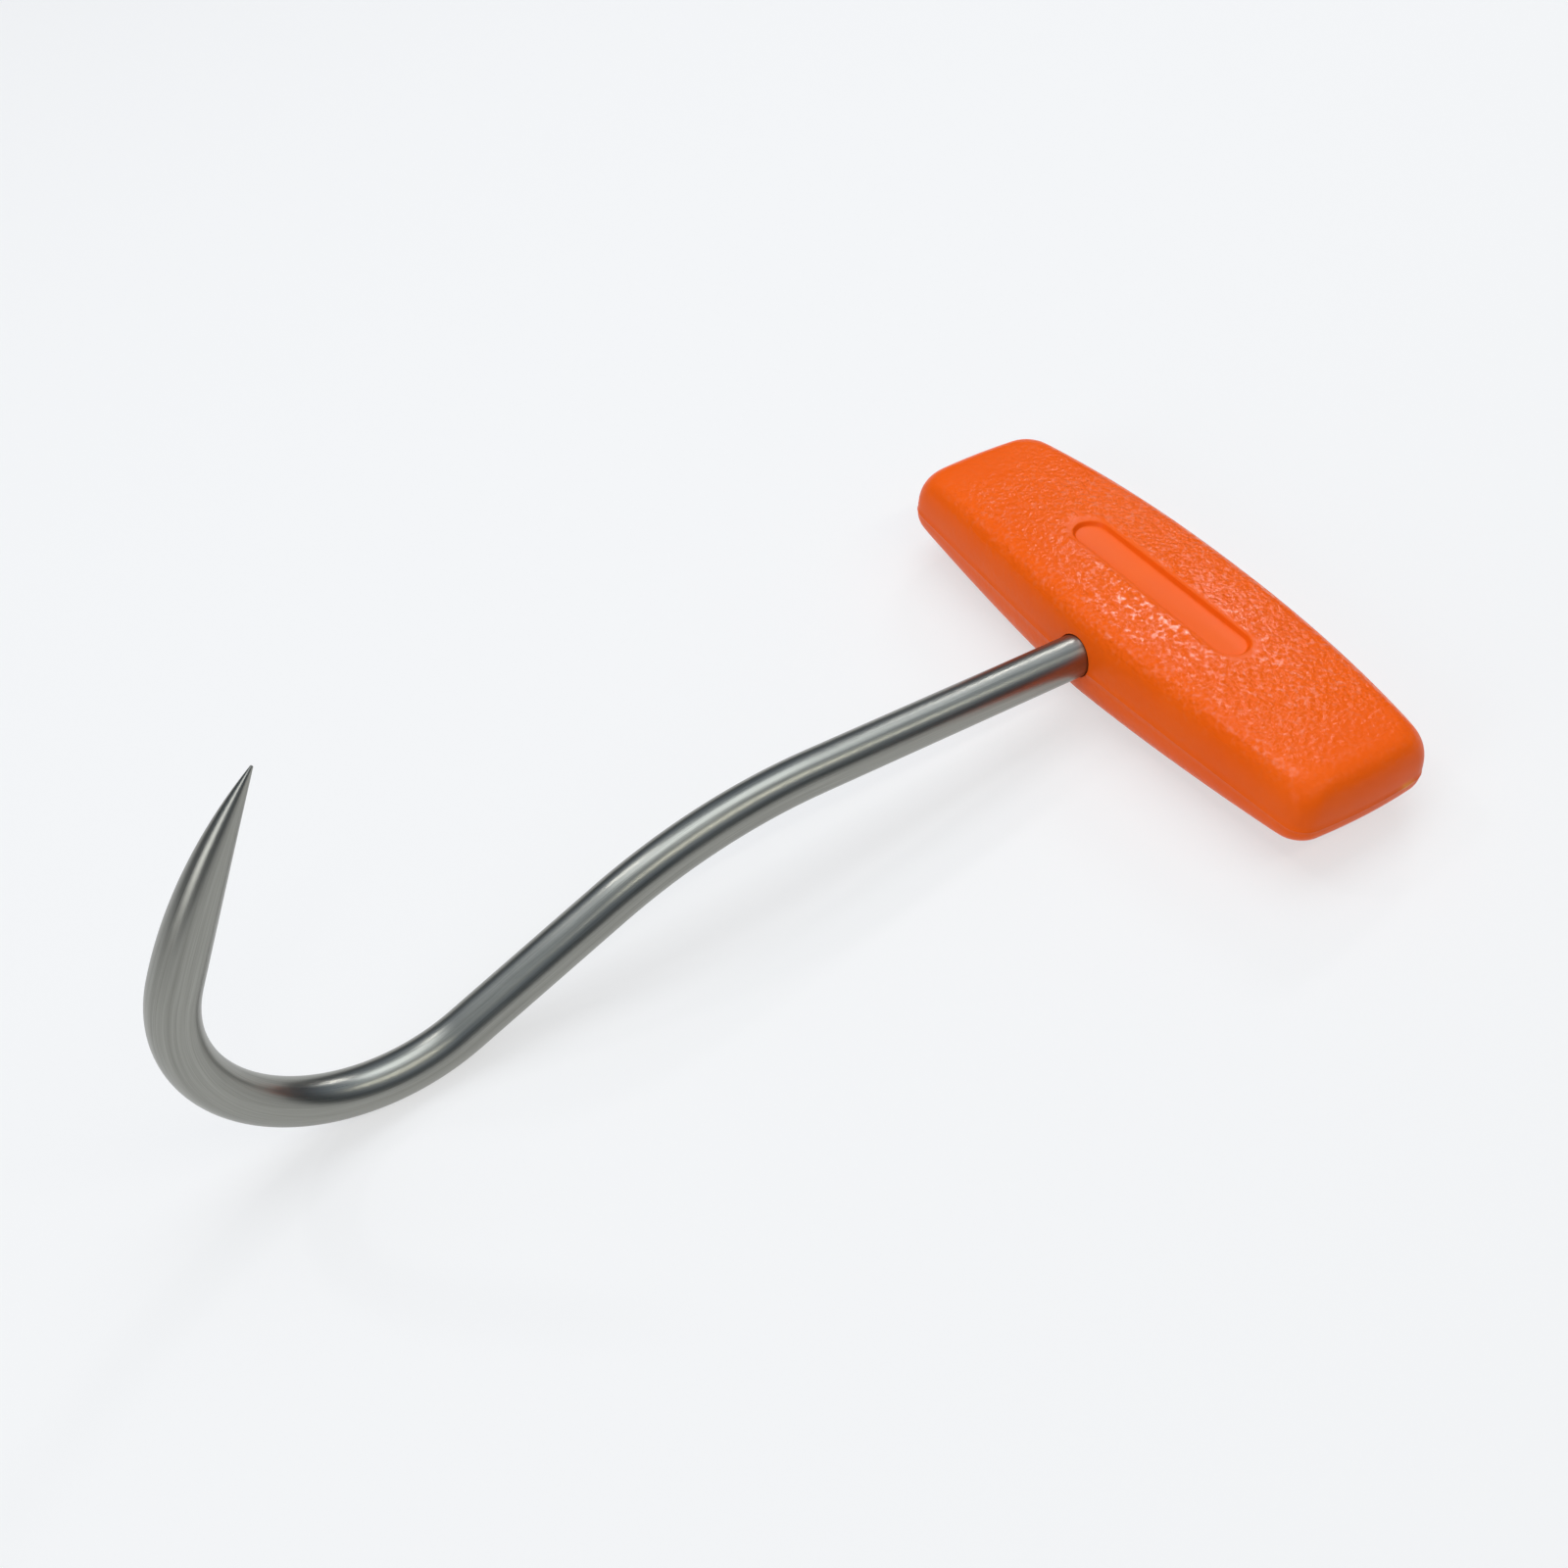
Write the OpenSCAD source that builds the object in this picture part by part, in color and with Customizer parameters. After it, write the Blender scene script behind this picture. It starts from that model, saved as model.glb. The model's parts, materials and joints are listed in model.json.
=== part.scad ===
// Boning hook: a bent and ground round steel rod in a moulded T handle.
// It is drawn with the rod along +X from the middle of the handle, the handle along Y and the label
// recess up, and then tipped onto its rest: the belly of the hook and the lower back edge of the
// handle touch z = 0, and the origin is under the middle of the whole tool.

/* [Rod] */
// Diameter of the round bar that the rod is bent from
rod_d = 8; // [6:0.5:10]
// Straight shank, from the middle of the handle to the first bend
shank_l = 75; // [60:1:100]
// Length of the tang past the middle of the handle
tang_l = 11; // [8:0.5:14]
// Chamfer on the end of the tang
tang_chamfer = 0.8; // [0.3:0.1:1.5]

/* [Hook] */
// Radius of the first bend, along the middle of the bar
crank_r = 90; // [50:1:120]
// Angle of the first bend
crank_angle = 26.5; // [20:0.5:32]
// Straight stretch between the first bend and the hook
link_l = 31; // [20:1:45]
// Radius of the hook, along the middle of the bar
hook_r = 29.5; // [22:0.5:40]
// Angle that the hook turns back through
hook_angle = 139; // [125:1:150]
// Length of the ground point, along its middle line
point_l = 38; // [28:1:50]
// Radius that the ground point still curves in by
point_curve_r = 164; // [100:1:300]
// Diameter left at the very tip
tip_d = 0.7; // [0.4:0.1:1.2]

/* [Handle] */
// Length of the handle
handle_l = 112.5; // [100:0.5:130]
// Reach of the handle towards the hook at its middle
front_w = 19; // [17:0.5:23]
// Reach of the handle towards the hook at its ends
front_end_w = 15.6; // [13:0.2:16.8]
// Reach of the handle away from the hook at its middle
back_w = 19.2; // [17:0.2:23]
// Reach of the handle away from the hook at its ends
back_end_w = 13.8; // [12:0.2:16.8]
// Radius of the corners, seen from above
corner_r = 4.4; // [3:0.2:6]
// Radius of the gently domed end faces, seen from above
end_r = 110; // [60:1:300]
// Height of the parting line below the middle of the rod
parting_drop = 1.4; // [0:0.1:2.5]
// Height of the upper half above the parting line, at the middle
upper_h = 9.5; // [8.6:0.1:12]
// Height of the upper half above the parting line, at the ends
upper_end_h = 8.5; // [6:0.1:8.5]
// Height of the lower half below the parting line, at the middle
lower_h = 7.5; // [6:0.1:9]
// Height of the lower half below the parting line, at the ends
lower_end_h = 3.8; // [3:0.1:6]
// Width over which the upper edges round over
upper_round = 5.5; // [4:0.1:7]
// Width over which the lower edges round over
lower_round = 4; // [3:0.1:6]
// Extra height of the crown along the middle of the top and bottom faces
crown_h = 0.4; // [0.1:0.1:1]

/* [Label recess] */
// Length of the recess, over its round ends
recess_l = 45; // [30:0.5:60]
// Width of the recess
recess_w = 7.2; // [5:0.1:10]
// Depth of the recess at the middle of the handle
recess_depth = 1.1; // [0.6:0.1:1.6]

/* [Cross pin] */
// Diameter of the pin that locks the tang in the moulding
pin_d = 3; // [2:0.5:4]
// Length of the pin
pin_l = 24; // [16:1:40]
// Distance of the pin from the middle of the handle, away from the hook
pin_x = 4; // [2:0.5:5]

/* [Hidden] */
$fn = 96;

rod_r = rod_d / 2;
half_l = handle_l / 2;
parting_z = -parting_drop;
top_z = parting_z + upper_h + crown_h;

// How full the sides bulge: 2 is a straight run into a parabola, less is flatter
front_power = 1.2;
back_power = 2.25;
// Fullness of the rounded edges: 2 is an ellipse, more is squarer
edge_power = 2.9;
// How much the plan corners soften as the edges round over
corner_spread = 0.35;

// Steps round a quarter of the outline: along the side, round the corner, across the end
side_steps = 10;
corner_steps = 6;
end_steps = 4;
quarter_steps = side_steps + corner_steps + end_steps;
ring_steps = 4 * quarter_steps;
// Steps over each rounded edge, and across the crowned faces
edge_steps = 9;
crown_steps = 6;
ring_count = 2 * edge_steps + 1;

// Steps round the bent bar, and along its first bend, its hook and its ground point
bar_sides = 36;
crank_rings = 9;
hook_rings = 42;
point_rings = 22;
// The bent bar's flats clear the round of the straight shank by this much
flat_clearance = 0.01;
bent_r = rod_r / cos(180 / bar_sides) + flat_clearance;

// Middle line of the bent rod in the XZ plane: where the link starts, and the middle of the hook
link_start = [shank_l + crank_r * sin(crank_angle), -crank_r * (1 - cos(crank_angle))];
link_dir = [cos(crank_angle), -sin(crank_angle)];
hook_start = link_start + link_l * link_dir;
hook_mid = hook_start + hook_r * [sin(crank_angle), cos(crank_angle)];
// Direction of the rod where the hook ends, and that place
point_angle = hook_angle - crank_angle;
point_start = hook_mid + hook_r * [sin(point_angle), -cos(point_angle)];
point_mid = point_start + point_curve_r * [-sin(point_angle), cos(point_angle)];

// Ogive of the ground point: full bar at its start, round and smooth, down to the tip
ogive_drop = rod_r - tip_d / 2;
ogive_r = (pow(ogive_drop, 2) + pow(point_l, 2)) / (2 * ogive_drop);

// Reach of an edge rounded over a by b, in the direction at angle t
edge_dual = edge_power / (edge_power - 1);
function edge_reach(a, b, t) =
    pow(pow(a * abs(cos(t)), edge_dual) + pow(b * abs(sin(t)), edge_dual), 1 / edge_dual);

// How much higher the hook's belly hangs than the handle when the tool is tipped by t
function rest_gap(t) =
    (hook_mid.x + back_w - lower_round) * sin(t) + (hook_mid.y - parting_z) * cos(t)
    - (hook_r + rod_r) + edge_reach(lower_round, lower_h, 90 - t);

// The tip at which both touch, found by halving
function level_tilt(low, high, turns) =
    let (middle = (low + high) / 2)
    turns == 0 ? middle
    : rest_gap(middle) > 0 ? level_tilt(low, middle, turns - 1)
    : level_tilt(middle, high, turns - 1);

rest_tilt = level_tilt(0, 30, 30);
rest_lift = hook_r + rod_r - hook_mid.x * sin(rest_tilt) - hook_mid.y * cos(rest_tilt);
rest_max_x = hook_mid.x * cos(rest_tilt) - hook_mid.y * sin(rest_tilt) + hook_r + rod_r;
rest_min_x = -(back_w - upper_round) * cos(rest_tilt) - parting_z * sin(rest_tilt)
    - edge_reach(upper_round, upper_h, rest_tilt);

// Tips the tool from the rod's frame onto its rest
module at_rest() {
    translate([-(rest_min_x + rest_max_x) / 2, 0, rest_lift])
        rotate([0, -rest_tilt, 0])
            children();
}

// Steel rod

// Radius of the ground point at a distance along it
function point_r(along) = bent_r - ogive_r + sqrt(pow(ogive_r, 2) - pow(along, 2));

// Stations along the middle line after the shank, each as [x, z, direction, radius]
crank_stations = [
    for (i = [0 : crank_rings])
        let (a = crank_angle * i / crank_rings)
        [shank_l + crank_r * sin(a), -crank_r * (1 - cos(a)), -a, bent_r]
];
hook_stations = [
    for (i = [0 : hook_rings])
        let (a = hook_angle * i / hook_rings - crank_angle)
        [hook_mid.x + hook_r * sin(a), hook_mid.y - hook_r * cos(a), a, bent_r]
];
point_stations = [
    for (i = [1 : point_rings])
        let (
            along = point_l * sin(90 * i / point_rings),
            a = point_angle + along / point_curve_r * 180 / PI
        )
        [point_mid.x + point_curve_r * sin(a), point_mid.y - point_curve_r * cos(a), a, point_r(along)]
];

// One ring of the bar, square to the middle line at a station
function bar_ring(station) =
    let (direction = station[2], r = station[3])
    [for (i = [0 : bar_sides - 1])
        let (a = 360 * i / bar_sides)
        [station.x - r * sin(a) * sin(direction), r * cos(a), station.y + r * sin(a) * cos(direction)]];

// First bend, link, hook and ground point, swept as one bar from the end of the straight shank
module bent_bar() {
    stations = concat(crank_stations, hook_stations, point_stations);
    points = [for (station = stations) each bar_ring(station)];
    last = (len(stations) - 1) * bar_sides;
    faces = [
        [for (i = [0 : bar_sides - 1]) i],
        [for (i = [bar_sides - 1 : -1 : 0]) last + i],
        for (j = [0 : len(stations) - 2], i = [0 : bar_sides - 1])
            let (
                a = j * bar_sides + i,
                b = j * bar_sides + (i + 1) % bar_sides,
                c = a + bar_sides,
                d = b + bar_sides
            )
            each [[a, c, b], [b, c, d]]
    ];
    polyhedron(points = points, faces = faces);
}

// Straight shank and the tang that the handle is moulded round, with its end chamfered
module tang() {
    translate([-tang_l, 0, 0])
        rotate([0, 90, 0])
            cylinder(h = tang_chamfer, d1 = rod_d - 2 * tang_chamfer, d2 = rod_d);
    translate([-tang_l + tang_chamfer, 0, 0])
        rotate([0, 90, 0])
            cylinder(h = tang_l - tang_chamfer + shank_l, d = rod_d);
}

module hook_rod() {
    color([0.62, 0.63, 0.65])
    at_rest()
    difference() {
        union() {
            tang();
            bent_bar();
        }
        pin_shape();
    }
}

// Moulded handle

// Reach of a side at a distance y from the middle
function side_reach(middle, end, power, y) = middle - (middle - end) * pow(abs(y) / half_l, power);

// A quarter of the outline, drawn in by inset: up the side, round the corner, across half the end
function quarter(middle, end, power, inset) =
    let (
        l = half_l - inset,
        r = corner_r + corner_spread * inset,
        y = l - r,
        slope = (middle - end) * power * pow(y / half_l, power - 1) / half_l,
        start = atan(slope),
        corner_x = side_reach(middle, end, power, y) - inset - r / cos(start),
        corner_y = l - end_r + sqrt(pow(end_r - r, 2) - pow(corner_x, 2)),
        end_turn = asin(corner_x / (end_r - r)),
        side_y = corner_y + r * sin(start)
    )
    concat(
        [for (i = [0 : side_steps - 1])
            let (y = side_y * i / side_steps)
            [side_reach(middle, end, power, y) - inset, y]],
        [for (i = [0 : corner_steps])
            let (a = start + (90 - end_turn - start) * i / corner_steps)
            [corner_x + r * cos(a), corner_y + r * sin(a)]],
        [for (i = [1 : end_steps])
            let (a = 90 - end_turn * (1 - i / end_steps))
            [end_r * cos(a), l - end_r + end_r * sin(a)]]
    );

// The whole outline: hook side, then back, in the order that the steps run round it
function outline(inset) =
    let (
        front = quarter(front_w, front_end_w, front_power, inset),
        back = quarter(back_w, back_end_w, back_power, inset),
        n = quarter_steps
    )
    concat(
        front,
        [for (i = [n - 1 : -1 : 0]) [-back[i].x, back[i].y]],
        [for (i = [1 : n]) [-back[i].x, -back[i].y]],
        [for (i = [n - 1 : -1 : 1]) [front[i].x, -front[i].y]]
    );

// Height of one half at a distance y from the middle
function half_height(middle, end, y) = middle - (middle - end) * pow(y / half_l, 2);

// One ring of the moulding, at an angle over the edge from 90 (top) to -90 (bottom)
function handle_ring(angle) =
    let (
        up = angle >= 0,
        inset = (up ? upper_round : lower_round) * (1 - pow(cos(angle), 2 / edge_power)),
        rise = pow(abs(sin(angle)), 2 / edge_power)
    )
    [for (p = outline(inset))
        [p.x, p.y, up ? parting_z + rise * half_height(upper_h, upper_end_h, p.y)
                      : parting_z - rise * half_height(lower_h, lower_end_h, p.y)]];

// Points inside a crowned face, in rows across it between the two sides of its ring
function crown_rows(ring, lift) =
    [for (k = [1 - quarter_steps : quarter_steps - 1], c = [1 : crown_steps - 1])
        let (
            a = ring[(k + ring_steps) % ring_steps],
            b = ring[(2 * quarter_steps - k + ring_steps) % ring_steps],
            across = c / crown_steps,
            along = 1 - pow(k / quarter_steps, 2)
        )
        a + (b - a) * across + [0, 0, lift * 4 * across * (1 - across) * along]];

// Number of the point in row k and column c of a crowned face
function crown_id(k, c, ring_base, row_base) =
    abs(k) == quarter_steps || c == 0 ? ring_base + (k + ring_steps) % ring_steps
    : c == crown_steps ? ring_base + (2 * quarter_steps - k + ring_steps) % ring_steps
    : row_base + (k + quarter_steps - 1) * (crown_steps - 1) + c - 1;

// Two triangles over four point numbers, leaving out one that has shrunk to a line
function patch(a, b, c, d) = [
    if (a != b && b != c && a != c) [a, b, c],
    if (a != c && c != d && a != d) [a, c, d]
];

function crown_faces(ring_base, row_base, flip) = [
    for (k = [-quarter_steps : quarter_steps - 1], c = [0 : crown_steps - 1])
        let (
            p = crown_id(k, c, ring_base, row_base),
            q = crown_id(k, c + 1, ring_base, row_base),
            r = crown_id(k + 1, c + 1, ring_base, row_base),
            s = crown_id(k + 1, c, ring_base, row_base)
        )
        each (flip ? patch(s, r, q, p) : patch(p, q, r, s))
];

// Moulding without its recess, tang and pin
module handle_blank() {
    rings = [for (j = [0 : ring_count - 1]) handle_ring(90 - 90 * j / edge_steps)];
    row_total = (2 * quarter_steps - 1) * (crown_steps - 1);
    top_base = ring_count * ring_steps;
    bottom_base = top_base + row_total;
    points = concat(
        [for (ring = rings) each ring],
        crown_rows(rings[0], crown_h),
        crown_rows(rings[ring_count - 1], -crown_h)
    );
    walls = [
        for (j = [0 : ring_count - 2], i = [0 : ring_steps - 1])
            let (
                next = (i + 1) % ring_steps,
                a = j * ring_steps + i,
                b = j * ring_steps + next
            )
            each patch(a, b, b + ring_steps, a + ring_steps)
    ];
    faces = concat(
        walls,
        crown_faces(0, top_base, false),
        crown_faces((ring_count - 1) * ring_steps, bottom_base, true)
    );
    polyhedron(points = points, faces = faces);
}

// Recess in the top face, open upwards, with a flat floor
module recess_cut() {
    run = recess_l - recess_w;
    translate([0, 0, top_z - recess_depth])
        linear_extrude(height = 2 * recess_depth)
            union() {
                square([recess_w, run], center = true);
                for (side = [-1, 1])
                    translate([0, side * run / 2])
                        circle(d = recess_w);
            }
}

module handle() {
    color([0.96, 0.36, 0.07])
    at_rest()
    difference() {
        handle_blank();
        tang();
        pin_shape();
        recess_cut();
    }
}

// Cross pin

module pin_shape() {
    translate([-pin_x, 0, 0])
        rotate([90, 0, 0])
            cylinder(h = pin_l, d = pin_d, center = true);
}

module cross_pin() {
    color([0.5, 0.5, 0.52])
    at_rest()
    pin_shape();
}

hook_rod();
handle();
cross_pin();
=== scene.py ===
import json
import math

import bpy
import numpy as np
from mathutils import Euler, Matrix, Vector


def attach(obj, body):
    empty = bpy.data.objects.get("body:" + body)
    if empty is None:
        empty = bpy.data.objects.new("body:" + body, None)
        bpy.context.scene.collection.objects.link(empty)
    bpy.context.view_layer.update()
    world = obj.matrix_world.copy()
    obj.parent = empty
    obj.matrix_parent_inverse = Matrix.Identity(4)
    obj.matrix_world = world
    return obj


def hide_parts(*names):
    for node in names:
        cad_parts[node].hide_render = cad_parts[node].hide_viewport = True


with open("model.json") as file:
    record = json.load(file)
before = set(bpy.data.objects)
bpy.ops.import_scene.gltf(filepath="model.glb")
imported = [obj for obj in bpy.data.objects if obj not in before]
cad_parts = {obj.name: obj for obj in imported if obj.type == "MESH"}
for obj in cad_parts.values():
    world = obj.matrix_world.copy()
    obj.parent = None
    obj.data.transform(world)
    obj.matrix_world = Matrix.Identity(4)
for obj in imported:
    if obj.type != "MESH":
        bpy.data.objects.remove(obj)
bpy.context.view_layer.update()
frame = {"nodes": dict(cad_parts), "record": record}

# The tool as it lies: its handle and the belly of its hook rest on a pale table.
# The rod's own frame has its origin in the middle of the handle and +X along the straight shank, and
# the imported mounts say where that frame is.
MM = 0.001
MOUNTS = {mount["name"]: mount for mount in frame["record"]["mounts"]}
SHANK_CLIP_ALONG = 47 * MM
shank_axis = Vector(MOUNTS["shank_clip"]["axis"]).normalized()
across = Vector((0, 1, 0))
tool_frame = Matrix((shank_axis, across, shank_axis.cross(across))).transposed().to_4x4()
tool_frame.translation = Vector(MOUNTS["shank_clip"]["pos_m"]) - SHANK_CLIP_ALONG * shank_axis


# The photographer's camera, from above and in front of the hook.
EYE = Vector((88.40, 192.55, 254.69)) * MM
EYE_TURN = Euler([math.radians(angle) for angle in (42.072, 6.366, 147.312)])
LENS = 43.20
camera = bpy.data.objects.new("camera", bpy.data.cameras.new("camera"))
camera.data.lens = LENS
camera.data.clip_start = 0.01
camera.location = EYE
camera.rotation_euler = EYE_TURN
bpy.context.scene.collection.objects.link(camera)
bpy.context.scene.camera = camera
bpy.context.scene.view_settings.view_transform = "Standard"


# A pale table under soft studio lamps, with a dim room round it that gives steel its dark lines.
# The table shows near white to the camera and to the steel, and keeps a soft shadow of the tool.
class Value:
    """A shader socket that takes part in Python sums."""

    def __init__(self, material, socket):
        self.material = material
        self.socket = socket

    def _maths(self, operation, *values):
        return self.material.node("ShaderNodeMath", {"operation": operation}, *values)

    def __add__(self, other):
        return self._maths("ADD", self, other)

    def __sub__(self, other):
        return self._maths("SUBTRACT", self, other)

    def __rsub__(self, other):
        return self._maths("SUBTRACT", other, self)

    def __mul__(self, other):
        return self._maths("MULTIPLY", self, other)

    __radd__ = __add__
    __rmul__ = __mul__


class Material:
    """A material, or the world, whose nodes are added by calls."""

    def __init__(self, owner):
        owner.use_nodes = True
        self.owner = owner
        self.tree = owner.node_tree
        self.tree.nodes.clear()

    def node(self, kind, settings=None, *inputs, out=0, **named):
        made = self.tree.nodes.new(kind)
        for name, value in (settings or {}).items():
            if name == "stops":
                self._set_stops(made.color_ramp, value)
            else:
                setattr(made, name, value)
        for key, value in list(enumerate(inputs)) + list(named.items()):
            socket = made.inputs[key if isinstance(key, int) else key.replace("_", " ")]
            if isinstance(value, Value):
                self.tree.links.new(value.socket, socket)
            elif value is not None:
                socket.default_value = value
        return Value(self, made.outputs[out])

    def _set_stops(self, ramp, stops):
        for index, (place, colour) in enumerate(stops):
            stop = ramp.elements[index] if index < 2 else ramp.elements.new(place)
            stop.position = place
            stop.color = colour if isinstance(colour, tuple) else (colour, colour, colour, 1)

    def ramp(self, value, *stops):
        return self.node("ShaderNodeValToRGB", {"stops": stops}, value)

    def mix(self, share, first, second, blend="MIX"):
        return self.node(
            "ShaderNodeMix", {"data_type": "RGBA", "blend_type": blend},
            share, None, None, None, None, None, first, second, out=2)

    def surface(self, shader):
        world = isinstance(self.owner, bpy.types.World)
        output = self.tree.nodes.new("ShaderNodeOutputWorld" if world else "ShaderNodeOutputMaterial")
        self.tree.links.new(shader.socket, output.inputs["Surface"])


def shown_rays(material):
    """1 for rays that the camera or a mirror-like surface sees, and 0 for light on a surface."""
    rays = material.tree.nodes.new("ShaderNodeLightPath").outputs
    names = ("Is Camera Ray", "Is Glossy Ray", "Is Transmission Ray")
    shown = [Value(material, rays[name]) for name in names]
    return material.node(
        "ShaderNodeMath", {"operation": "MAXIMUM"},
        material.node("ShaderNodeMath", {"operation": "MAXIMUM"}, shown[0], shown[1]), shown[2])


TABLE_SIZE = 12.0
TABLE_COLOUR = (0.82, 0.82, 0.825, 1)
WHITE = (1, 1, 1, 1)
TABLE_SHARE_OF_WHITE = 0.6

bpy.ops.object.select_all(action="DESELECT")
bpy.ops.mesh.primitive_plane_add(size=TABLE_SIZE)
table = bpy.context.object
table.name = "table"
cover = Material(bpy.data.materials.new("pale_table"))
lit = cover.node("ShaderNodeBsdfDiffuse", None, TABLE_COLOUR)
white = cover.node("ShaderNodeEmission", None, WHITE, 1.0)
cover.surface(cover.node(
    "ShaderNodeMixShader", None, shown_rays(cover) * TABLE_SHARE_OF_WHITE, lit, white))
table.data.materials.append(cover.owner)

ROOM_LEVEL = 0.55
ROOM = (
    (0.0, (0.09, 0.09, 0.08, 1)),
    (0.5, (0.045, 0.05, 0.05, 1)),
    (0.64, (0.10, 0.12, 0.15, 1)),
    (0.80, (0.55, 0.66, 0.82, 1)),
    (1.0, (0.85, 0.93, 1.0, 1)),
)
room = Material(bpy.data.worlds.new("studio"))
bpy.context.scene.world = room.owner
direction = room.node("ShaderNodeSeparateXYZ", None, room.node("ShaderNodeTexCoord"), out=2)
walls = room.ramp(direction * 0.5 + 0.5, *ROOM)
ambient = room.node("ShaderNodeBackground", None, walls, ROOM_LEVEL)
backdrop = room.node("ShaderNodeBackground", None, WHITE, 1.0)
camera_ray = Value(room, room.tree.nodes.new("ShaderNodeLightPath").outputs["Is Camera Ray"])
room.surface(room.node("ShaderNodeMixShader", None, camera_ray, ambient, backdrop))

# Each lamp: name, place and size in metres, power in watts and colour
LAMPS = (
    ("overhead", (-0.10, -0.20, 0.85), (0.90, 0.42), 3.1, (0.93, 0.97, 1.0)),
    ("far_sheen", (-0.66, -0.455, 0.528), (0.20, 0.05), 0.9, (1.0, 0.97, 0.96)),
    ("edge_sheen", (0.22, -0.50, 0.70), (0.07, 0.07), 0.5, (1.0, 0.98, 0.97)),
    ("near_line", (-0.15, 0.50, 0.78), (1.00, 0.05), 1.5, (1.0, 0.95, 0.80)),
    ("hook_fill", (0.85, 0.15, 0.42), (0.50, 0.40), 1.8, (1.0, 1.0, 1.0)),
)
for name, place, size, power, tint in LAMPS:
    lamp = bpy.data.lights.new(name, "AREA")
    lamp.shape = "RECTANGLE"
    lamp.size, lamp.size_y = size
    lamp.energy = power
    lamp.color = tint
    stand = bpy.data.objects.new(name, lamp)
    stand.location = place
    back = Vector(place).normalized()
    along_x = (Vector((1, 0, 0)) - back * back.x).normalized()
    stand.rotation_euler = Matrix((along_x, back.cross(along_x), back)).transposed().to_euler()
    bpy.context.scene.collection.objects.link(stand)


# Hook rod: one round stainless bar, chamfered at the hidden tang, cranked, bent into the hook and
# ground to a point. It is brushed lengthwise, so the grain follows the bar round its bends.
BAR_SIDES = 72
ROD_R = 4 * MM
TANG_L = 11 * MM
TANG_CHAMFER = 0.8 * MM
SHANK_L = 75 * MM
CRANK_R = 90 * MM
CRANK_ANGLE = math.radians(26.5)
LINK_L = 31 * MM
HOOK_R = 29.5 * MM
HOOK_ANGLE = math.radians(139)
POINT_L = 38 * MM
POINT_CURVE_R = 164 * MM
TIP_R = 0.22 * MM
RING_GAP = 1.0 * MM


def swing(direction):
    """A unit step in the hook's plane, at an angle above the shank's direction."""
    return Vector((math.cos(direction), 0, math.sin(direction)))


def side_of(direction):
    """A unit step square to that one, on its upper side."""
    return Vector((-math.sin(direction), 0, math.cos(direction)))


# Each run of the bar: its length, and the radius that it is bent to, up for plus and down for minus
RUNS = (
    (SHANK_L, None),
    (CRANK_R * CRANK_ANGLE, -CRANK_R),
    (LINK_L, None),
    (HOOK_R * HOOK_ANGLE, HOOK_R),
    (POINT_L, POINT_CURVE_R),
)
# The middle line of the bar, as (place, distance along, direction)
middle_line = []


def follow_run(place, along, direction, length, radius):
    """Adds a run's points to the middle line, and returns where it ends."""
    steps = math.ceil(length / RING_GAP)
    for step in range(steps + 1):
        done = length * step / steps
        if radius:
            centre = place + radius * side_of(direction)
            turned = direction + done / radius
            middle_line.append((centre - radius * side_of(turned), along + done, turned))
        else:
            middle_line.append((place + done * swing(direction), along + done, direction))
    return middle_line[-1]


bpy.ops.object.select_all(action="DESELECT")
bpy.ops.mesh.primitive_circle_add(
    vertices=BAR_SIDES, radius=ROD_R - TANG_CHAMFER, fill_type="NGON",
    location=(-TANG_L, 0, 0), rotation=(0, math.pi / 2, 0))
rod = bpy.context.object
rod.name = "hook_rod_brushed"
bpy.ops.object.transform_apply(location=True, rotation=True, scale=True)
bpy.ops.object.mode_set(mode="EDIT")
bpy.ops.mesh.select_mode(type="FACE")
bpy.ops.mesh.select_all(action="SELECT")
bpy.ops.mesh.extrude_region_move(TRANSFORM_OT_translate={"value": (TANG_CHAMFER, 0, 0)})
chamfer_growth = ROD_R / (ROD_R - TANG_CHAMFER)
bpy.ops.transform.resize(
    value=(1, chamfer_growth, chamfer_growth), center_override=(TANG_CHAMFER - TANG_L, 0, 0))
bpy.ops.mesh.extrude_region_move(TRANSFORM_OT_translate={"value": (TANG_L - TANG_CHAMFER, 0, 0)})
place, along, direction = Vector((0, 0, 0)), 0.0, 0.0
for length, radius in RUNS:
    steps = math.ceil(length / RING_GAP)
    if radius:
        bpy.ops.mesh.spin(
            steps=steps, angle=length / radius, center=place + radius * side_of(direction),
            axis=(0, 1, 0))
    else:
        for _ in range(steps):
            bpy.ops.mesh.extrude_region_move(
                TRANSFORM_OT_translate={"value": swing(direction) * length / steps})
    place, along, direction = follow_run(place, along, direction, length, radius)
bpy.ops.mesh.select_all(action="SELECT")
bpy.ops.mesh.remove_doubles(threshold=0.001 * MM)
bpy.ops.mesh.normals_make_consistent(inside=False)
bpy.ops.object.mode_set(mode="OBJECT")

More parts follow.
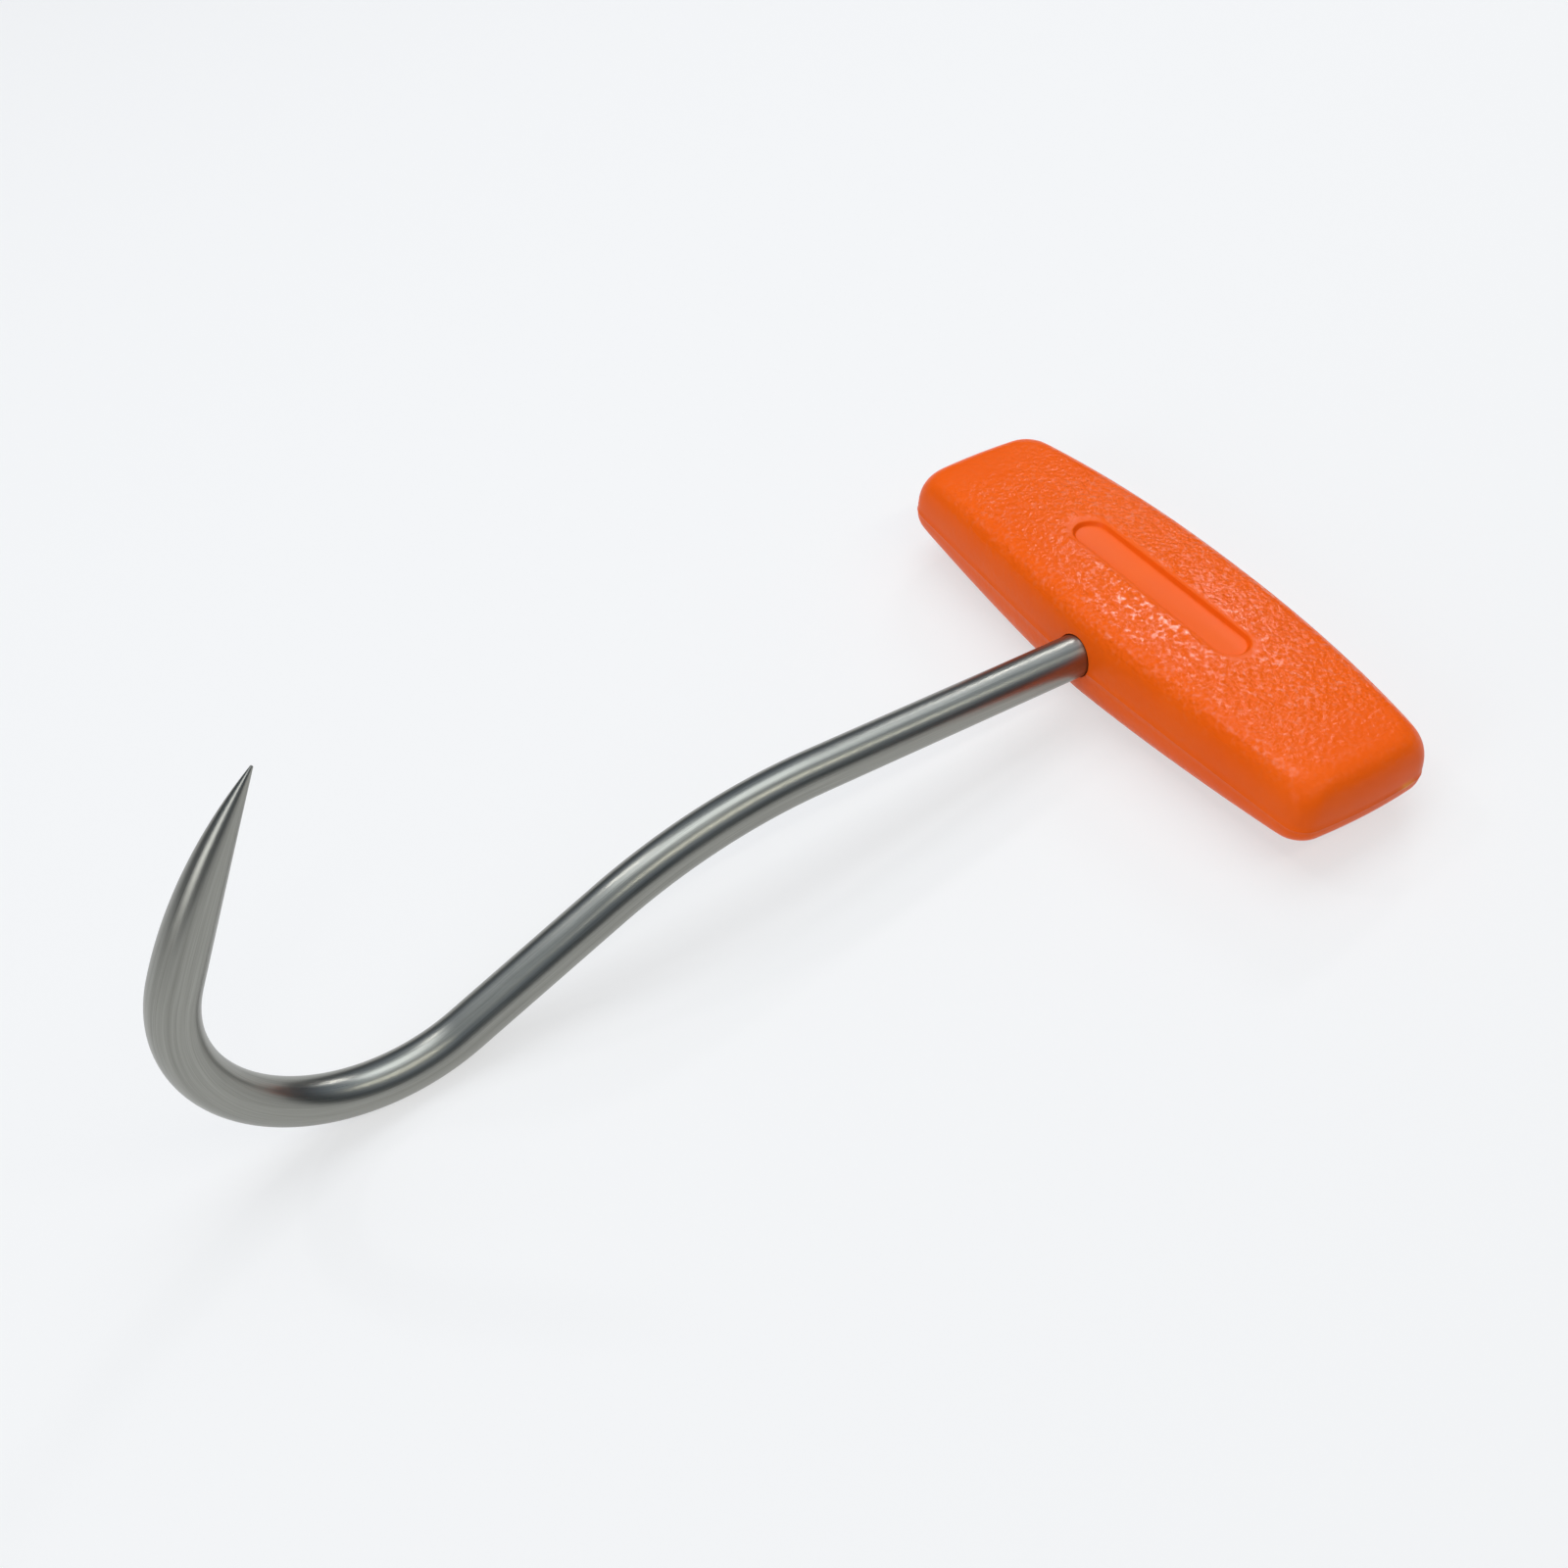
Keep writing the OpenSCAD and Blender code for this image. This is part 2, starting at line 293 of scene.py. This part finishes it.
# The ground point is an ogive: the bar's radius falls along an arc from full to the tip. Each corner
# also keeps its distance along the bar and its place round it, which the brushed grain follows.
OGIVE_DROP = ROD_R - TIP_R
OGIVE_R = (OGIVE_DROP ** 2 + POINT_L ** 2) / (2 * OGIVE_DROP)
BAR_L = along
centres = np.array([spot for spot, _, _ in middle_line])
grain = rod.data.attributes.new("grain", "FLOAT_VECTOR", "POINT")
for vertex in rod.data.vertices:
    nearest = int(np.argmin(np.sum((centres - np.array(vertex.co * Vector((1, 0, 1)))) ** 2, axis=1)))
    spot, along, direction = middle_line[nearest]
    offset = vertex.co - spot
    turn = math.atan2(offset.dot(side_of(direction)), offset.y)
    if along > BAR_L - POINT_L:
        ground = along - (BAR_L - POINT_L)
        radius = ROD_R - OGIVE_R + math.sqrt(OGIVE_R ** 2 - ground ** 2)
        vertex.co = spot + offset * (radius / ROD_R)
    grain.data[vertex.index].vector = (along, ROD_R * math.cos(turn), ROD_R * math.sin(turn))
rod.data.transform(tool_frame)
bpy.ops.object.shade_smooth_by_angle(angle=math.radians(40))

steel = Material(bpy.data.materials.new("brushed_stainless"))
follow = steel.node("ShaderNodeAttribute", {"attribute_name": "grain"}, out=1)


def brushed(along_scale, round_scale, detail=2.0, offset=(0, 0, 0)):
    """Noise drawn out along the bar, with a scale along it and a finer one round it."""
    stretched = steel.node(
        "ShaderNodeMapping", None, follow, offset, Scale=(along_scale, round_scale, round_scale))
    return steel.node("ShaderNodeTexNoise", None, stretched, Scale=1.0, Detail=detail, Roughness=0.6)


hairlines = brushed(60, 7000, 3.0)
bands = brushed(14, 900, 2.0, (3, 1, 0))
scuffs = brushed(260, 1800, 3.0, (7, 0, 2))
patches = steel.node("ShaderNodeTexNoise", None, follow, Scale=60.0, Detail=3.0)
BRUSH_DEPTH = 0.015 * MM
STEEL_DARK = (0.12, 0.12, 0.105, 1)
STEEL_LIGHT = (0.46, 0.46, 0.425, 1)
tone = steel.mix(hairlines * 0.55 + bands * 0.45, STEEL_DARK, STEEL_LIGHT)
roughness = 0.17 + hairlines * 0.12 + patches * 0.1 + scuffs * 0.08
scratches = hairlines * 0.6 + bands * 0.3 + scuffs * 0.2
brush_marks = steel.node(
    "ShaderNodeBump", None, Strength=0.35, Distance=BRUSH_DEPTH, Height=scratches)
steel.surface(steel.node("ShaderNodeBsdfPrincipled", None, tone, 1.0, roughness, Normal=brush_marks))
rod.data.materials.append(steel.owner)
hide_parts("hook_rod")
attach(rod, "root")


# Handle: one orange polypropylene moulding round the tang, lofted ring by ring from the floor of its
# label recess, over the crowned top and the parting line, to the underside. The two halves of the
# mould leave a fine raised line, and the outside has a pebbled grain that the recess lacks.
HALF_L = 56.25 * MM
FRONT = (19.0 * MM, 15.6 * MM, 1.2)
BACK = (19.2 * MM, 13.8 * MM, 2.25)
CORNER_R = 4.4 * MM
CORNER_SPREAD = 0.35
END_R = 110 * MM
PARTING_Z = -1.4 * MM
UPPER_H = (9.5 * MM, 8.5 * MM)
LOWER_H = (7.5 * MM, 3.8 * MM)
UPPER_ROUND = 5.5 * MM
LOWER_ROUND = 4.0 * MM
EDGE_POWER = 2.6
CROWN_H = 0.4 * MM
RECESS_L = 45 * MM
RECESS_W = 7.2 * MM
RECESS_DEPTH = 1.1 * MM
FLASH_H = 0.07 * MM
FLASH_W = 0.11 * MM
RIM_ROUND = 0.45 * MM
FLOOR_ROUND = 0.35 * MM
WALL_DRAFT = 0.25 * MM
SHRINK_GAP = 0.16 * MM
SHRINK_DEPTH = 2 * MM
# The grain is fainter towards both ends, and flash shows pale at two places on the near end
FAR_SMOOTH_Y = 55 * MM
NEAR_SMOOTH_Y = 60 * MM
FADE_L = 22 * MM
FAR_GRAIN = 0.25
SIDE_SMOOTH = 0.55
SIDE_FADE = 0.4
SIDE_GRAIN = 0.15
FLASH_MARKS = ((-8.4 * MM, 1.3 * MM), (-13.4 * MM, 0.6 * MM))

SIDE_STEPS = 36
CORNER_STEPS = 12
END_STEPS = 8
RING_STEPS = 4 * (SIDE_STEPS + CORNER_STEPS + END_STEPS)
EDGE_RINGS = 16
FACE_RINGS = 10
FILLET_RINGS = 4
RING_DROP = 0.1 * MM


def side_reach(side, y):
    """How far a side reaches from the middle of the handle, at a distance y along it."""
    middle, end, power = side
    return middle - (middle - end) * (abs(y) / HALF_L) ** power


def outline_quarter(side, inset):
    """A quarter of the plan outline, drawn in by inset: up the side, round the corner, half the end."""
    middle, end, power = side
    length = HALF_L - inset
    r = CORNER_R + CORNER_SPREAD * inset
    y = length - r
    slope = math.atan((middle - end) * power * (y / HALF_L) ** (power - 1) / HALF_L)
    corner_x = side_reach(side, y) - inset - r / math.cos(slope)
    corner_y = length - END_R + math.sqrt((END_R - r) ** 2 - corner_x ** 2)
    end_turn = math.asin(corner_x / (END_R - r))
    side_y = corner_y + r * math.sin(slope)
    points = []
    for step in range(SIDE_STEPS):
        y = side_y * step / SIDE_STEPS
        points.append((side_reach(side, y) - inset, y))
    for step in range(CORNER_STEPS + 1):
        a = slope + (math.pi / 2 - end_turn - slope) * step / CORNER_STEPS
        points.append((corner_x + r * math.cos(a), corner_y + r * math.sin(a)))
    for step in range(1, END_STEPS + 1):
        a = math.pi / 2 - end_turn * (1 - step / END_STEPS)
        points.append((END_R * math.cos(a), length - END_R + END_R * math.sin(a)))
    return points


def stadium_quarter(length, width):
    """A quarter of a round-ended slot, with as many points as a quarter of the outline."""
    r = width / 2
    run = length / 2 - r
    points = [(r, run * step / SIDE_STEPS) for step in range(SIDE_STEPS)]
    bend = CORNER_STEPS + END_STEPS
    for step in range(bend + 1):
        a = math.pi / 2 * step / bend
        points.append((r * math.cos(a), run + r * math.sin(a)))
    return points


def whole_ring(front, back):
    """The four quarters joined into one closed ring."""
    return (
        front
        + [(-x, y) for x, y in back[-2::-1]]
        + [(-x, -y) for x, y in back[1:]]
        + [(x, -y) for x, y in front[-2:0:-1]]
    )


def half_height(heights, y):
    """Height of one mould half at a distance y along the handle."""
    middle, end = heights
    return middle - (middle - end) * (y / HALF_L) ** 2


def edge_ring(angle, upper):
    """A ring over a rounded edge, from 0 at the parting line to 90 at the broad face."""
    width = UPPER_ROUND if upper else LOWER_ROUND
    inset = FLASH_H + width * (1 - math.cos(angle) ** (2 / EDGE_POWER))
    rise = math.sin(angle) ** (2 / EDGE_POWER)
    ring = whole_ring(outline_quarter(FRONT, inset), outline_quarter(BACK, inset))
    if upper:
        return [(x, y, PARTING_Z + rise * half_height(UPPER_H, y)) for x, y in ring]
    return [(x, y, PARTING_Z - rise * half_height(LOWER_H, y)) for x, y in ring]


def broad_face_z(x, y, upper):
    """Height of a crowned broad face."""
    side = FRONT if x > 0 else BACK
    width = (UPPER_ROUND if upper else LOWER_ROUND) + FLASH_H
    reach = max(side_reach(side, y) - width, MM)
    crown = CROWN_H * max(0.0, 1 - (x / reach) ** 2) * max(0.0, 1 - (y / HALF_L) ** 2)
    if upper:
        return PARTING_Z + half_height(UPPER_H, y) + crown
    return PARTING_Z - half_height(LOWER_H, y) - crown


def face_rings(inner, outer, steps, upper):
    """Rings over a broad face, from an inner ring of plan points towards the ring round its edge."""
    rings = []
    for step in range(steps):
        share = step / steps
        ring = []
        for (x0, y0), (x1, y1, _) in zip(inner, outer):
            x, y = x0 + (x1 - x0) * share, y0 + (y1 - y0) * share
            ring.append((x, y, broad_face_z(x, y, upper)))
        rings.append(ring)
    return rings


def slot_ring(spread, drop):
    """A ring of the recess: spread beyond its nominal outline, and drop below the face."""
    quarter = stadium_quarter(RECESS_L + 2 * spread, RECESS_W + 2 * spread)
    floor_z = broad_face_z(0, 0, True) - RECESS_DEPTH
    ring = []
    for x, y in whole_ring(quarter, quarter):
        share = drop / RECESS_DEPTH
        ring.append((x, y, broad_face_z(x, y, True) * (1 - share) + floor_z * share))
    return ring


fillet = [math.pi / 2 * step / FILLET_RINGS for step in range(FILLET_RINGS + 1)]
rings = []
for a in fillet:
    rings.append(slot_ring(
        -WALL_DRAFT - FLOOR_ROUND * (1 - math.sin(a)), RECESS_DEPTH - FLOOR_ROUND * (1 - math.cos(a))))
for a in fillet:
    rings.append(slot_ring(RIM_ROUND * (1 - math.cos(a)), RIM_ROUND * (1 - math.sin(a))))
top_edge = edge_ring(math.pi / 2, True)
rim = [(x, y) for x, y, _ in rings[-1]]
rings += face_rings(rim, top_edge, FACE_RINGS, True)[1:]
rings += [edge_ring(math.pi / 2 * (1 - step / EDGE_RINGS), True) for step in range(EDGE_RINGS)]
flash = whole_ring(outline_quarter(FRONT, 0), outline_quarter(BACK, 0))
foot = whole_ring(outline_quarter(FRONT, FLASH_H), outline_quarter(BACK, FLASH_H))
rings.append([(x, y, PARTING_Z + FLASH_W) for x, y in foot])
rings.append([(x, y, PARTING_Z) for x, y in flash])
rings.append([(x, y, PARTING_Z - FLASH_W) for x, y in foot])
rings += [edge_ring(math.pi / 2 * step / EDGE_RINGS, False) for step in range(1, EDGE_RINGS + 1)]
spine = stadium_quarter(RECESS_L, 2 * MM)
under = face_rings(whole_ring(spine, spine), rings[-1], FACE_RINGS, False)
rings += under[::-1]

bpy.ops.object.select_all(action="DESELECT")
bpy.ops.mesh.primitive_circle_add(vertices=RING_STEPS, radius=RECESS_W / 2, fill_type="NGON")
handle = bpy.context.object
handle.name = "handle_moulding"
bpy.ops.object.mode_set(mode="EDIT")
bpy.ops.mesh.select_mode(type="FACE")
bpy.ops.mesh.select_all(action="SELECT")
for _ in rings[1:]:
    bpy.ops.mesh.extrude_region_move(TRANSFORM_OT_translate={"value": (0, 0, -RING_DROP)})
bpy.ops.object.mode_set(mode="OBJECT")
# The extruded stack is plain so far: each corner now moves to its place in its own ring
level = []
for vertex in handle.data.vertices:
    x, y, z = vertex.co
    level.append(round(-z / RING_DROP))
    step_round = round(math.atan2(y, x) / (2 * math.pi) * RING_STEPS) % RING_STEPS
    vertex.co = rings[level[-1]][step_round]
bpy.ops.object.mode_set(mode="EDIT")
bpy.ops.mesh.select_all(action="SELECT")
bpy.ops.mesh.normals_make_consistent(inside=False)
bpy.ops.object.mode_set(mode="OBJECT")
pebbled = handle.data.attributes.new("pebbled", "FLOAT", "POINT")
pale = handle.data.attributes.new("pale", "FLOAT", "POINT")
for vertex in handle.data.vertices:
    x, y, z = vertex.co
    in_slot = level[vertex.index] < 2 * len(fillet)
    far_fade = min(max((y + FAR_SMOOTH_Y) / FADE_L, FAR_GRAIN), 1.0)
    near_fade = min(max((NEAR_SMOOTH_Y - y) / FADE_L, FAR_GRAIN), 1.0)
    height_share = abs(z - PARTING_Z) / half_height(UPPER_H if z > PARTING_Z else LOWER_H, y)
    side_fade = min(max((height_share - SIDE_SMOOTH) / SIDE_FADE, SIDE_GRAIN), 1.0)
    pebbled.data[vertex.index].value = 0.0 if in_slot else far_fade * near_fade * side_fade
    on_flash = abs(z - PARTING_Z) < 1.5 * FLASH_W and y > HALF_L - CORNER_R
    marks = [math.exp(-((x - middle) / reach) ** 2) for middle, reach in FLASH_MARKS]
    pale.data[vertex.index].value = max(marks) if on_flash else 0.0
# The plastic shrinks back a hair from the bar where it leaves the handle
bpy.ops.object.select_all(action="DESELECT")
bpy.ops.mesh.primitive_cylinder_add(
    vertices=BAR_SIDES, radius=ROD_R + SHRINK_GAP, depth=2 * SHRINK_DEPTH,
    location=(FRONT[0], 0, 0), rotation=(0, math.pi / 2, 0))
mouth = bpy.context.object
bpy.ops.object.transform_apply(location=True, rotation=True, scale=True)
bpy.context.view_layer.objects.active = handle
cut = handle.modifiers.new("mouth", "BOOLEAN")
cut.object = mouth
cut.solver = "EXACT"
bpy.ops.object.modifier_apply(modifier="mouth")
bpy.data.objects.remove(mouth)
handle.data.transform(tool_frame)
bpy.ops.object.select_all(action="DESELECT")
handle.select_set(True)
bpy.ops.object.shade_smooth_by_angle(angle=math.radians(50))

plastic = Material(bpy.data.materials.new("orange_polypropylene"))
spot = plastic.node("ShaderNodeTexCoord", None, out=3)
grained = plastic.node("ShaderNodeAttribute", {"attribute_name": "pebbled"}, out=2)
flashed = plastic.node("ShaderNodeAttribute", {"attribute_name": "pale"}, out=2)
pebbles = plastic.node("ShaderNodeTexVoronoi", {"feature": "SMOOTH_F1"}, spot, Scale=1200.0)
waves = plastic.node("ShaderNodeTexNoise", None, spot, Scale=800.0, Detail=2.0, Roughness=0.5)
cloud = plastic.node("ShaderNodeTexNoise", None, spot, Scale=70.0, Detail=3.0)
ORANGE_DEEP = (0.93, 0.108, 0.003, 1)
ORANGE_BRIGHT = (1.0, 0.136, 0.005, 1)
ORANGE_FLASH = (1.0, 0.36, 0.04, 1)
# The next colour is a painted highlight, for the glints on the pebble rims
ORANGE_PAINTED_GLINT = (1.0, 0.24, 0.09, 1)
SHEEN = 0.12
PEBBLE_DEPTH = 0.34 * MM
patchy = plastic.ramp(cloud, (0.36, 0.5), (0.6, 1.0))
height = (waves * 1.3 - pebbles * 0.7) * grained * patchy
# Painted highlight: where the grain is strong, the pebble rims are broken up by the waves and get a
# paler pinkish orange mixed into the base colour as painted glints. The same mask also gives those rims
# a glossy coat.
rims = plastic.ramp(pebbles, (0.40, 0.0), (0.60, 1.0))
broken = plastic.ramp(waves, (0.44, 0.0), (0.58, 1.0))
crest_coat_and_painted_glints = rims * broken * grained * patchy
body = plastic.mix(cloud, ORANGE_DEEP, ORANGE_BRIGHT)
colour = plastic.mix(flashed, plastic.mix(crest_coat_and_painted_glints * 0.3, body, ORANGE_PAINTED_GLINT), ORANGE_FLASH)
relief = plastic.node("ShaderNodeBump", None, Strength=0.9, Distance=PEBBLE_DEPTH, Height=height)
roughness = 0.14 + cloud * 0.1 + (1 - grained) * 0.16
plastic.surface(plastic.node(
    "ShaderNodeBsdfPrincipled", None, colour, 0.0, roughness, Specular_IOR_Level=SHEEN,
    Coat_Weight=crest_coat_and_painted_glints * 0.7, Coat_Roughness=0.2, Normal=relief))
handle.data.materials.append(plastic.owner)
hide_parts("handle")
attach(handle, "root")


# Cross pin: a short ground steel pin, pressed through the tang before the handle is moulded on. It
# is out of sight inside the handle, so the CAD piece stays as it is and only gets its steel.
pin = frame["nodes"]["cross_pin"]
pin_steel = Material(bpy.data.materials.new("ground_pin_steel"))
spot = pin_steel.node("ShaderNodeTexCoord", None, out=3)
grinding = pin_steel.node("ShaderNodeTexNoise", None, spot, Scale=900.0, Detail=2.0)
PIN_GREY = (0.5, 0.5, 0.52, 1)
pin_steel.surface(pin_steel.node(
    "ShaderNodeBsdfPrincipled", None, PIN_GREY, 1.0, 0.28 + grinding * 0.15))
pin.data.materials.clear()
pin.data.materials.append(pin_steel.owner)
